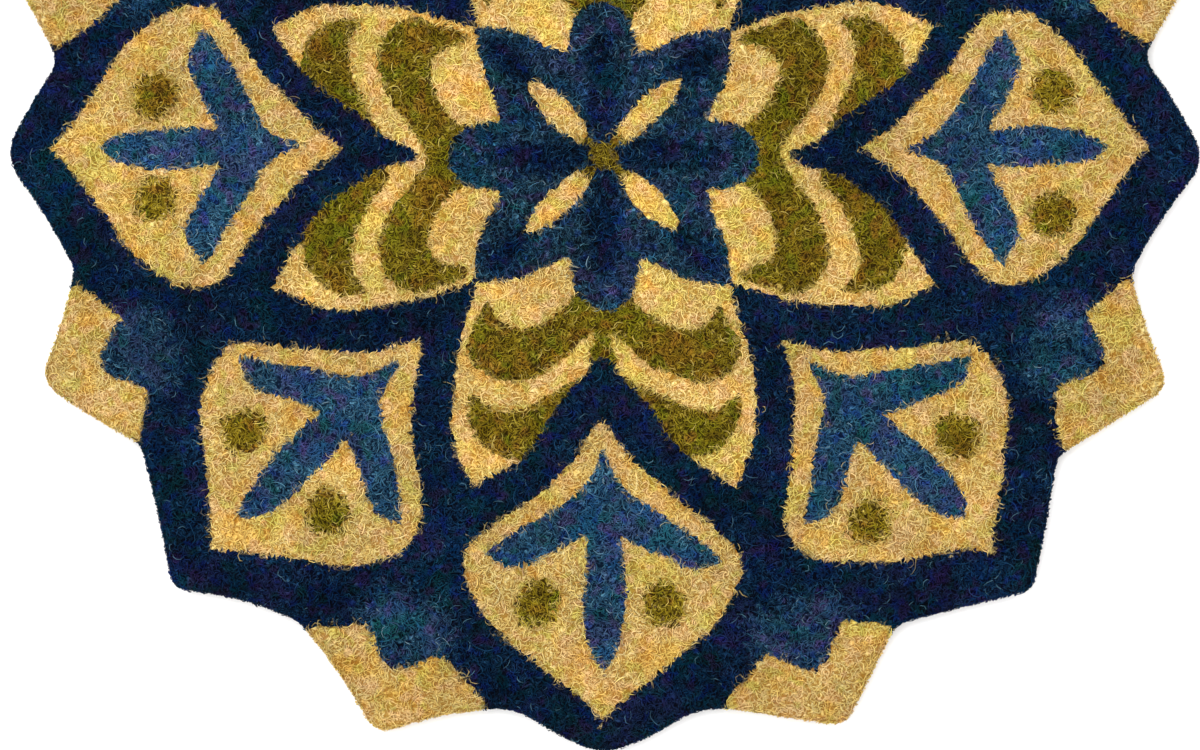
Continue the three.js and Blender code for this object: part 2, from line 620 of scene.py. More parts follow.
@dataclass
class Medallion:
    """The dyed design, in millimetres from the mat's centre.

    Each motif is half of a mirrored shape: the first number is how far it lies to the side of its
    own axis, the second how far out along that axis.
    """

    centre_disc: float = 8.5
    centre_strength: float = 0.42
    slit: Leaf = Leaf(8.0, 64.0, 8.0, 0.75)
    slit_foot: float = 0.16
    slit_foot_fray: float = 90.0
    slit_foot_strength: float = 0.48
    axis_heart: Leaf = Leaf(6.0, 72.0, 10.0)
    star_heart: Leaf = Leaf(60.0, 96.0, 8.0)
    swell_olive_from: float = 127.0
    dot_place: tuple[float, float] = (36.5, 263.0)
    dot_radius: float = 13.5
    dot_heart: float = 0.6
    cartouche_foot: float = 151.0
    sprig_middle: float = 236.0
    arm_root: tuple[float, float] = (11.0, 209.0)
    arm_tip: tuple[float, float] = (70.0, 236.0)
    arm_widens: float = 1.8
    cartouches: dict[int, Placing] = field(
        default_factory=lambda: {
            0: Placing(
                aside=5.2, length=0.95, sprig_aside=5.2, sprig_length=0.89, arm_width=1.3, dots_aside=1.4
            ),
            4: Placing(
                aside=-4.8,
                width=1.03,
                length=0.97,
                sprig_aside=-4.8,
                sprig_length=0.89,
                arm_width=1.35,
                dots_aside=-5.6,
                dots_apart=0.84,
            ),
            5: Placing(aside=2.0, width=0.975, length=0.98, dots_aside=-1.4, dots_apart=0.94),
            6: Placing(dots_aside=-1.6),
            7: Placing(aside=-2.0, width=0.975, length=0.98, dots_aside=-5.6),
        }
    )
    corners: dict[int, Placing] = field(
        default_factory=lambda: {
            0: Placing(out=-2.0),
            3: Placing(out=-4.5),
            4: Placing(aside=2.5, out=-2.5, width=0.9),
            5: Placing(out=5.0),
            6: Placing(out=5.5),
            7: Placing(out=-4.5),
        }
    )
    wobble: float = 1.1
    bleed: float = 1.8
    soft_bleed: float = 2.6
    border_waver: float = 0.5
    sharp_share: float = 0.96
    flower_unevenness: float = 0.42
    flower_strength: float = 0.262
    flower_range: tuple[float, float] = (0.08, 0.6)
    axis_heart_strength: float = 0.46
    star_heart_strength: float = 0.44
    cartouche_strength: float = 0.445
    # painted shade: the corners' tan is dyed weaker than the cartouches' tan, to take back the extra light
    # that the floor throws on the mat's corners
    corner_strength_with_painted_shade: float = 0.415
    patch_strength: float = 0.42
    dot_rim_strength: float = 0.62
    dot_strength: float = 0.54
    patch_fray: float = 4.5
    dot_fray: float = 1.3
    heart_fray: float = 1.8
    stain_share: tuple[float, float] = (0.1, 0.45)
    past_border: float = 0.94
    past_border_faint: float = 0.35
    cartouche: np.ndarray = motif(
        ((0, 153), (5, 160), (17.5, 178), (40, 199.5), (62, 215), (77, 229), (81, 240)),
        ((81, 240), (78, 257), (62, 278.5), (36, 299.5), (13, 317), (0, 331)),
    )
    sprig: np.ndarray = motif(
        ((0, 169), (11, 194), (37, 212), (61, 228), (70, 236)),
        ((70, 236), (52, 241.5), (32, 233.5), (11, 224)),
        ((11, 224), (11.5, 245), (11.5, 268), (8, 290), (0, 303)),
    )
    petals: np.ndarray = motif(
        ((74, 74), (82, 102), (88.5, 135), (88, 165), (77, 194)),
        ((77, 194), (46, 173), (24, 143), (9, 125), (4.5, 112), (0, 108.5)),
        ((0, 40), (40, 40)),
    )
    near_band: np.ndarray = motif(
        ((0, 80),),
        ((17, 82), (20, 88), (35, 98), (50, 102), (61, 97), (69, 86)),
        ((76, 99), (80, 112), (76, 123), (66, 131), (55, 134)),
        ((42, 130), (28, 122), (17, 113), (8, 106), (0, 103.5)),
    )
    far_band: np.ndarray = motif(
        ((9, 127), (19, 133), (33, 140), (47, 147), (66, 149), (80, 139)),
        ((80, 139), (81, 152), (75, 165), (65, 174), (46, 177.5)),
        ((43, 176), (27, 152.5), (13, 136.5), (6.5, 129.5)),
    )
    side_swell: np.ndarray = motif(
        ((4, 110), (6.5, 125), (10, 136), (17.5, 148), (32, 166), (46, 175.5)),
        ((46, 165), (12, 120)),
    )
    flower: np.ndarray = motif(
        ((0, 0),),
        ((0, 90), (8, 88), (15.5, 81), (19, 72), (21, 61.5)),
        ((21, 61.5), (31, 64.5), (42, 69.5), (56, 73), (75.5, 75.5)),
    )
    corner_tan: Stretch = (
        (0, 322),
        (9, 318),
        (24, 302),
        (46, 312),
        (60, 321),
        (72, 330),
        (120, 400),
        (0, 420),
    )
    corner_patch: Stretch = ((0, 325), (26, 303), (31, 297), (25, 284), (12, 277), (0, 275))
    side_tip: Stretch = (
        (60, 98),
        (64, 90),
        (66.5, 81),
        (69, 78),
        (72.5, 81.5),
        (76, 92),
        (77, 104),
        (66, 104),
    )
    tip_wedge: Stretch = ((0, 100), (3.5, 104), (6, 110), (8, 117), (7, 121), (2.5, 119), (0, 118))

    @staticmethod
    def folded(points: np.ndarray, repeats: int, turned: float = 0.0) -> tuple[np.ndarray, np.ndarray]:
        """Turns points to one repeat of the design.

        Args:
            points: Places on the mat.
            repeats: How many times the motif repeats round the centre.
            turned: The first repeat's angle from +X, in degrees.

        Returns:
            For each point, how far it lies counter-clockwise beside its nearest axis and how far out
            along it, and that axis's number.
        """
        angle = np.arctan2(points[:, 1], points[:, 0]) - math.radians(turned)
        step = 2 * math.pi / repeats
        nearest = np.round(angle / step)
        local = angle - nearest * step
        reach = np.hypot(points[:, 0], points[:, 1])
        found = np.stack([reach * np.sin(local), reach * np.cos(local)], axis=1)
        return found, nearest.astype(int) % repeats

    @staticmethod
    def halved(points: np.ndarray) -> np.ndarray:
        """Folds points on the counter-clockwise half of their axis."""
        return np.column_stack([np.abs(points[:, 0]), points[:, 1]])

    def hand_cut(self, points: np.ndarray) -> np.ndarray:
        """Moves points a little, so that the design's edges waver as a hand-cut stencil's do.

        Args:
            points: Places on the mat, in millimetres.

        Returns:
            The same places, moved by short waves that bend and by longer ones.
        """
        x, y = points[:, 0], points[:, 1]
        across = np.sin(y / 9.3 + 1.1 * np.sin(x / 17)) + np.sin(x / 23 + y / 31)
        along = np.sin(x / 8.7 + 1.3 * np.sin(y / 15)) + np.sin(y / 27 - x / 36)
        return points + self.wobble * np.stack([across, along], axis=1) / 1.4

    def dye_at(self, places: np.ndarray, rng: np.random.Generator) -> tuple[np.ndarray, np.ndarray]:
        """Says which dye the coir takes at each place, and how strongly.

        Args:
            places: Places on the mat, in millimetres.
            rng: Random numbers, for the soft edges.

        Returns:
            The dye's number and the dye's strength, about 0.5 as a rule.
        """
        points = self.hand_cut(places)
        dye = np.full(len(points), Dye.NAVY.value)
        strength = np.full(len(points), 0.5)

        def paint(where: np.ndarray, colour: Dye, amount: float | np.ndarray = 0.5) -> None:
            """Dyes places with a strength, where a test is true."""
            dye[where] = colour.value
            strength[where] = np.broadcast_to(amount, where.shape)[where]

        odd, corner = self.folded(points, 8, 22.5)
        rows = [self.corners.get(k, Placing()) for k in range(8)]
        odd -= np.array([(row.aside, row.out) for row in rows])[corner]
        odd[:, 0] /= np.array([row.width for row in rows])[corner]
        odd = self.halved(odd)
        frayed = odd + rng.normal(0.0, self.patch_fray, odd.shape)
        paint(inside(frayed, self.corner_patch), Dye.BLUE, self.patch_strength)
        # painted shade: the corner tan is made darker, against the floor's light on the corners
        paint(inside(odd, self.corner_tan), Dye.TAN, self.corner_strength_with_painted_shade)

        half = self.halved(self.folded(points, 4)[0])
        petal = inside(half, self.petals)
        paint(petal, Dye.TAN)
        paint(petal & (inside(half, self.near_band) | inside(half, self.far_band)), Dye.OLIVE)
        sideways = np.abs(points[:, 0]) > np.abs(points[:, 1])
        paint(sideways & inside(half, self.side_tip), Dye.OLIVE)
        paint(~sideways & inside(half, self.tip_wedge), Dye.OLIVE)
        under_side = sideways & (points[:, 1] < 0)
        swell = under_side & inside(half, self.side_swell)
        olive = half[:, 1] >= self.swell_olive_from
        paint(swell & ~olive, Dye.TAN)
        paint(swell & olive, Dye.OLIVE)
        self.paint_flower(half, points, paint, rng)
        self.paint_cartouches(points, paint, rng)
        return dye, strength

    def paint_cartouches(self, points: np.ndarray, paint: Painter, rng: np.random.Generator) -> None:
        """Paints the eight cartouches, each with its sprig and two dots.

        Args:
            points: Places on the mat, in millimetres.
            paint: Paints a dye where a test is true.
            rng: Random numbers, for the soft edges.
        """
        every, axis = self.folded(points, 8)
        rows = [self.cartouches.get(k, Placing()) for k in range(8)]
        sits = np.array([astuple(row) for row in rows])[axis].T
        aside, _, width, length, sprig_aside, sprig_length, arm_width, dots_aside, dots_apart = sits
        side, out = every.T
        tan_out = self.cartouche_foot + (out - self.cartouche_foot) / length
        tan = np.column_stack([np.abs(side - aside) / width, tan_out])
        paint(inside(tan, self.cartouche), Dye.TAN, self.cartouche_strength)
        blue_side = np.abs(side - sprig_aside)
        blue_out = self.sprig_middle + (out - self.sprig_middle) / sprig_length
        (root_side, root_out), (tip_side, tip_out) = self.arm_root, self.arm_tip
        arm_middle = np.interp(blue_side, [root_side, tip_side], [root_out, tip_out])
        grown = np.clip(self.arm_widens * (blue_side - root_side) / (tip_side - root_side), 0, 1)
        wider = 1 + (arm_width - 1) * grown
        blue_out = arm_middle + (blue_out - arm_middle) / wider
        paint(inside(np.column_stack([blue_side, blue_out]), self.sprig), Dye.BLUE)
        dot_side = np.abs(side - dots_aside) - self.dot_place[0] * dots_apart
        from_dot = np.hypot(dot_side, out - self.dot_place[1])
        soft = from_dot + rng.normal(0.0, self.dot_fray, len(from_dot))
        paint(soft < self.dot_radius, Dye.OLIVE, self.dot_rim_strength)
        paint(soft < self.dot_radius * self.dot_heart, Dye.OLIVE, self.dot_strength)

    def stains_at(
        self, places: np.ndarray, dye: np.ndarray, rng: np.random.Generator
    ) -> tuple[np.ndarray, np.ndarray]:
        """Says how the dye beside it stains the coir near a border.

        Args:
            places: Places on the mat, in millimetres.
            dye: The dye at each place.
            rng: Random numbers.

        Returns:
            Each stain's colour, with its share as alpha, and the dye found beside each place.
        """
        bodies = np.array([FINISHES[dye].body for dye in Dye])
        soft = (Dye.TAN.value, Dye.OLIVE.value)
        amount = np.zeros(len(dye))
        found = dye.copy()
        for spread, only_soft in ((self.soft_bleed, True), (self.bleed, False)):
            beside, _ = self.dye_at(places + rng.normal(0.0, spread, places.shape), rng)
            touched = beside != dye
            if only_soft:
                touched &= np.isin(beside, soft) & np.isin(dye, soft)
            found[touched] = beside[touched]
            amount[touched] = rng.uniform(*self.stain_share, touched.sum())
        return np.column_stack([bodies[found], amount]), found

    def stains_along(
        self, paths: np.ndarray, dye: np.ndarray, strength: np.ndarray, rng: np.random.Generator
    ) -> tuple[np.ndarray, np.ndarray]:
        """Says how each strand is stained along its length: by its neighbours, and past a border.

        Args:
            paths: The strands' paths, in millimetres.
            dye: Each strand's dye.
            strength: Each strand's dye strength.
            rng: Random numbers.

        Returns:
            Each path point's stain, with its share as alpha, and the dye found beside each strand.
        """
        count, points = paths.shape[:2]
        beside, found = self.stains_at(paths[:, :, :2].mean(axis=1), dye, rng)
        places = paths[:, :, :2] + rng.normal(0.0, self.border_waver, (count, 1, 2))
        there, strength_there = self.dye_at(places.reshape(-1, 2), rng)
        there, strength_there = there.reshape(count, points), strength_there.reshape(count, points)
        bodies = np.array([FINISHES[dye].body for dye in Dye])
        sharp = rng.random(count) < self.sharp_share
        share = np.where(sharp, self.past_border, self.past_border_faint)[:, None]
        share = np.where(there != dye[:, None], share, 0.0)
        tint = bodies[there] * np.clip(strength_there / strength[:, None], 0.3, 3.0)[:, :, None]
        past = np.concatenate([tint, share[:, :, None]], axis=2)
        return np.where(share[:, :, None] > 0, past, beside[:, None]), found

    def paint_flower(
        self, half: np.ndarray, points: np.ndarray, paint: Painter, rng: np.random.Generator
    ) -> None:
        """Paints the flower in the middle, with its slits, dark hearts and centre.

        Args:
            half: The points folded on half of one axis petal.
            points: The points themselves.
            paint: Paints a dye where a test is true.
            rng: Random numbers, for the soft edges.
        """
        reach = np.hypot(points[:, 0], points[:, 1])
        along = (half[:, 1] + half[:, 0]) / math.sqrt(2)
        beside = np.abs(half[:, 1] - half[:, 0]) / math.sqrt(2)
        uneven = np.exp(rng.normal(0.0, self.flower_unevenness, len(reach)))
        strength = np.clip(self.flower_strength * uneven, *self.flower_range)
        paint(inside(half, self.flower), Dye.BLUE, strength)
        soft = rng.normal(0.0, self.heart_fray, len(reach))
        axis_heart = self.axis_heart.holds(half[:, 0] + soft, half[:, 1])
        star_heart = self.star_heart.holds(beside + soft, along)
        paint(axis_heart, Dye.NAVY, self.axis_heart_strength * uneven)
        paint(star_heart, Dye.NAVY, self.star_heart_strength * uneven)
        slit = self.slit.holds(beside, along)
        paint(slit, Dye.TAN)
        foot = self.slit.share(along) + soft / self.slit_foot_fray < self.slit_foot
        paint(slit & foot, Dye.OLIVE, self.slit_foot_strength)
        paint(reach < self.centre_disc, Dye.OLIVE, self.centre_strength)


class CutEdge:
    """The mat's outline and its top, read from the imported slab."""

    def __init__(self, slab: bpy.types.Object) -> None:
        """Reads the slab.

        Args:
            slab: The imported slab's object.
        """
        mesh = slab.data
        places = np.empty(len(mesh.vertices) * 3, np.float32)
        mesh.vertices.foreach_get("co", places)
        places = places.reshape(-1, 3).astype(float)
        angle = np.round(np.arctan2(places[:, 1], places[:, 0]), 4)
        reach = np.hypot(places[:, 0], places[:, 1])
        rim = reach > 0.3
        turns = np.unique(angle[rim])
        widest = np.array([reach[rim][angle[rim] == turn].max() for turn in turns])
        self.ring = np.stack([widest * np.cos(turns), widest * np.sin(turns)], axis=1)
        fine = self.evened(0.5 * MM)
        order = np.argsort(np.arctan2(fine[:, 1], fine[:, 0]))
        self.turns = np.arctan2(fine[order, 1], fine[order, 0])
        self.reaches = np.hypot(fine[order, 0], fine[order, 1])
        self.tree = BVHTree.FromPolygons(places.tolist(), [tuple(p.vertices) for p in mesh.polygons])

    def evened(self, spacing: float) -> np.ndarray:
        """Spaces points evenly round the outline.

        Args:
            spacing: About how far apart they are, in metres.

        Returns:
            The points, one row each.
        """
        closed = np.vstack([self.ring, self.ring[:1]])
        run = np.concatenate([[0], np.cumsum(np.linalg.norm(np.diff(closed, axis=0), axis=1))])
        at = np.linspace(0, run[-1], round(run[-1] / spacing), endpoint=False)
        return np.stack([np.interp(at, run, closed[:, k]) for k in range(2)], axis=1)

    def reach_at(self, places: np.ndarray) -> np.ndarray:
        """Gives the outline's distance from the centre in the direction of each place."""
        angle = np.arctan2(places[..., 1], places[..., 0])
        return np.interp(angle, self.turns, self.reaches, period=2 * math.pi)

    def room_at(self, places: np.ndarray) -> np.ndarray:
        """Gives how far inside the outline each place lies, negative outside."""
        return self.reach_at(places) - np.hypot(places[..., 0], places[..., 1])

    def top_at(self, places: np.ndarray) -> np.ndarray:
        """Gives the slab's height at each place, measured a little inside its rounded rim.

        Args:
            places: Places on the mat, in metres.

        Returns:
            The height at each place, in metres.
        """
        reach = np.hypot(places[:, 0], places[:, 1])
        limit = np.maximum(self.reach_at(places) * 0.97, 0.01)
        held = places * np.minimum(1.0, limit / np.maximum(reach, 1e-6))[:, None]
        down = Vector((0, 0, -1))
        hits = [self.tree.ray_cast(Vector((x, y, 0.1)), down)[0] for x, y in held]
        return np.array([hit.z for hit in hits])

    def size(self) -> tuple[float, float]:
        """Gives the outline's width and length, in metres."""
        width, length = np.ptp(self.ring, axis=0)
        return float(width), float(length)

    def area(self) -> float:
        """Gives the outline's area, in square metres."""
        x, y = self.ring[:, 0], self.ring[:, 1]
        return abs(float(np.dot(x, np.roll(y, -1)) - np.dot(y, np.roll(x, -1)))) / 2


def joined_mesh(
    name: str,
    points: np.ndarray,
    corners: np.ndarray,
    counts: np.ndarray,
    chart: np.ndarray,
) -> bpy.types.Object:
    """Makes a smoothly shaded object from arrays.

    Args:
        name: The piece's name.
        points: The mesh's points.
        corners: Each face's points, one face after another.
        counts: How many corners each face has.
        chart: Where each corner lies on the flat map of the surface.

    Returns:
        The object, linked to the scene.
    """
    mesh = bpy.data.meshes.new(name)
    mesh.vertices.add(len(points))
    mesh.vertices.foreach_set("co", points.astype(np.float32).ravel())
    mesh.loops.add(len(corners))
    mesh.loops.foreach_set("vertex_index", corners.astype(np.int32))
    mesh.polygons.add(len(counts))
    starts = np.concatenate([[0], np.cumsum(counts)[:-1]])
    mesh.polygons.foreach_set("loop_start", starts.astype(np.int32))
    mesh.uv_layers.new(name="OFBake")
    mesh.update(calc_edges=True)
    mesh.validate()
    mesh.uv_layers["OFBake"].uv.foreach_set("vector", chart.astype(np.float32).ravel())
    mesh.polygons.foreach_set("use_smooth", np.ones(len(counts), bool))
    piece = bpy.data.objects.new(name, mesh)
    bpy.context.scene.collection.objects.link(piece)
    return piece


def mark(piece: bpy.types.Object, name: str, values: np.ndarray, domain: str = "POINT") -> None:
    """Stores a value or a colour at each point or face of a mesh.

    Args:
        piece: The mesh's object.
        name: The value's name.
        values: One number, or red, green, blue and alpha, for each point or face.
        domain: Whether they belong to points or to faces.
    """
    kind, key = ("FLOAT", "value") if values.ndim == 1 else ("FLOAT_COLOR", "color")
    layer = piece.data.attributes.new(name, kind, domain)
    layer.data.foreach_set(key, values.astype(np.float32).ravel())


@dataclass
class Strands:
    """A batch of strands that all have the same number of points.

    Each field has one row for each strand: its path from root to tip, its thickness, its tone, its
    hue, how strongly it is dyed, lowered near the cut edge as painted shade, and its stain at each point of
    the path.
    """

    paths: np.ndarray
    thickness: np.ndarray
    tone: np.ndarray
    hue: np.ndarray
    strength: np.ndarray
    stain: np.ndarray

    def only(self, which: np.ndarray) -> "Strands":
        """Gives some of the strands."""
        return Strands(*(getattr(self, name)[which] for name in self.__dataclass_fields__))

    def count(self) -> int:
        """Gives how many strands there are."""
        return len(self.paths)

    def rings(self) -> np.ndarray:
        """Wraps three points round each inner point of each path.

        Returns:
            The strands' surface points: the root, the rings in order, then the tip.
        """
        inner = self.paths[:, 1:-1]
        heading = self.paths[:, 2:] - self.paths[:, :-2]
        heading /= np.linalg.norm(heading, axis=2, keepdims=True)
        lean = self.paths[:, -1] - self.paths[:, 0]
        side = np.stack([-lean[:, 1], lean[:, 0], np.full(len(lean), 1e-6)], axis=1)
        side = side[:, None] - heading * np.sum(side[:, None] * heading, axis=2, keepdims=True)
        side /= np.linalg.norm(side, axis=2, keepdims=True)
        other = np.cross(heading, side)
        turns = np.arange(3) * 2 * math.pi / 3
        spokes = np.cos(turns)[:, None] * side[:, :, None] + np.sin(turns)[:, None] * other[:, :, None]
        ring = inner[:, :, None] + spokes * self.thickness[:, None, None, None] / 2
        parts = [self.paths[:, :1], ring.reshape(self.count(), -1, 3), self.paths[:, -1:]]
        return np.concatenate(parts, axis=1)

    def pattern(self) -> tuple[list[tuple[int, ...]], list[tuple[float, float]], np.ndarray]:
        """Lists one strand's faces.

        Returns:
            Each face's points, each corner's place in the strand's own cell of the flat map, and
            the point of the path that each surface point belongs to.
        """
        rings = self.paths.shape[1] - 2
        tip = 3 * rings + 1
        last = rings + 1
        faces: list[tuple[int, ...]] = []
        cell: list[tuple[float, float]] = []
        for k in range(3):
            after = (k + 1) % 3
            left, middle, right = k / 3, (k + 0.5) / 3, (k + 1) / 3
            faces.append((0, 1 + after, 1 + k))
            cell += [(middle, 0), (right, 1 / last), (left, 1 / last)]
            for ring in range(rings - 1):
                low, high = 1 + 3 * ring, 4 + 3 * ring
                faces.append((low + k, low + after, high + after, high + k))
                v0, v1 = (ring + 1) / last, (ring + 2) / last
                cell += [(left, v0), (right, v0), (right, v1), (left, v1)]
            end = tip - 3
            faces.append((tip, end + k, end + after))
            cell += [(middle, 1), (left, rings / last), (right, rings / last)]
        return faces, cell, np.repeat(np.arange(last + 1), [1] + [3] * rings + [1])


def bundle(name: str, batches: list[Strands]) -> bpy.types.Object:
    """Joins batches of strands in one mesh, each strand closed and with a cell of its own.

    Args:
        name: The piece's name.
        batches: The strands.

    Returns:
        The object.
    """
    total = sum(batch.count() for batch in batches)
    across = math.ceil(math.sqrt(total * 2.2))
    down = math.ceil(total / across)
    points, corners, counts, chart = [], [], [], []
    values: dict[str, list[np.ndarray]] = {}
    start_point = start_cell = 0
    for batch in batches:
        surface = batch.rings()
        faces, cell, owner = batch.pattern()
        flat = np.array([index for face in faces for index in face])
        first = start_point + np.arange(batch.count()) * surface.shape[1]
        corners.append((first[:, None] + flat).ravel())
        counts.append(np.tile([len(face) for face in faces], batch.count()))
        number = start_cell + np.arange(batch.count())
        corner = np.stack([number % across, number // across], axis=1)
        inset = 0.08 + 0.84 * np.array(cell)
        chart.append(((corner[:, None] + inset) / (across, down)).reshape(-1, 2))
        points.append(surface.reshape(-1, 3))
        size = surface.shape[1]
        for key, value in (
            ("strand_tone", np.repeat(batch.tone, size)),
            ("strand_hue", np.repeat(batch.hue, size)),
            ("dye_strength_and_rim_shade", np.repeat(batch.strength, size)),
            ("stain", batch.stain[:, owner].reshape(-1, 4)),
            ("strand_along", np.tile(owner / owner[-1], batch.count())),
        ):
            values.setdefault(key, []).append(value)
        start_point += len(points[-1])
        start_cell += batch.count()
    piece = joined_mesh(
        name, np.concatenate(points), np.concatenate(corners), np.concatenate(counts), np.concatenate(chart)
    )
    for key, parts in values.items():
        mark(piece, key, np.concatenate(parts))
    return piece


@dataclass
class StrandForm:
    """The shape that one kind of strand takes."""

    rises: tuple[tuple[float, float], ...]
    length: float
    length_spread: float
    thickness: float
    thickness_spread: float
    curl: float
    tip_low: float
    tip_high: float
    curl_spread: tuple[float, float] = (0.35, 1.45)
    sway: float = 0.12

    def grow(
        self, middles: np.ndarray, tops: np.ndarray, rng: np.random.Generator
    ) -> tuple[np.ndarray, np.ndarray]:
        """Grows strands whose middles lie at the given places, seen from above.

        Args:
            middles: The places, in metres.
            tops: The pile's height there.
            rng: Random numbers.

        Returns:
            The strands' paths from root to tip, and their thicknesses.
        """
        n, pieces = len(middles), len(self.rises)
        length = self.length + self.length_spread * rng.uniform(-1, 1, n)
        heading = rng.uniform(0, 2 * math.pi, n)
        turn = np.radians(self.curl * rng.uniform(*self.curl_spread, n)) * rng.choice((-1.0, 1.0), n)
        path = np.zeros((n, pieces + 1, 3))
        for i, (low, high) in enumerate(self.rises):
            rise = np.radians(rng.uniform(low, high, n))
            way = heading + turn * i + rng.normal(0.0, self.sway, n)
            step = np.stack([np.cos(rise) * np.cos(way), np.cos(rise) * np.sin(way), np.sin(rise)], axis=1)
            path[:, i + 1] = path[:, i] + step * (length / pieces)[:, None]
        path[:, :, :2] += (middles - path[:, :, :2].mean(axis=1))[:, None]
        highest = path[:, :, 2].max(axis=1)
        tip = tops + rng.uniform(self.tip_low, self.tip_high, n)
        path[:, :, 2] += (tip - highest)[:, None]
        thick = self.thickness * (1 + self.thickness_spread * rng.uniform(-1, 1, n))
        return path, thick


UNDER_STRAND = StrandForm(
    rises=((20, 62), (-12, 28)),
    length=6.2 * MM,
    length_spread=1.6 * MM,
    thickness=0.74 * MM,
    thickness_spread=0.25,
    curl=66,
    tip_low=-1.9 * MM,
    tip_high=-0.5 * MM,
)
TOP_STRAND = StrandForm(
    rises=((34, 62), (6, 28), (-16, 8), (-38, -8)),
    length=10.0 * MM,
    length_spread=2.8 * MM,
    thickness=0.6 * MM,
    thickness_spread=0.25,
    curl=44,
    tip_low=-1.4 * MM,
    tip_high=0.1 * MM,
)
CURLED_STRAND = StrandForm(
    rises=((36, 66), (6, 28), (-8, 12), (-16, 6), (-34, 0)),
    length=13.0 * MM,
    length_spread=3.0 * MM,
    thickness=0.52 * MM,
    thickness_spread=0.25,
    curl=46,
    tip_low=-0.7 * MM,
    tip_high=0.35 * MM,
)
LONG_STRAND = StrandForm(
    rises=((15, 35), (0, 14), (-4, 8), (-6, 6), (-8, 4), (-14, 0), (-24, -8)),
    length=18.0 * MM,
    length_spread=6.0 * MM,
    thickness=0.46 * MM,
    thickness_spread=0.2,
    curl=22,
    tip_low=0.1 * MM,
    tip_high=0.7 * MM,
)


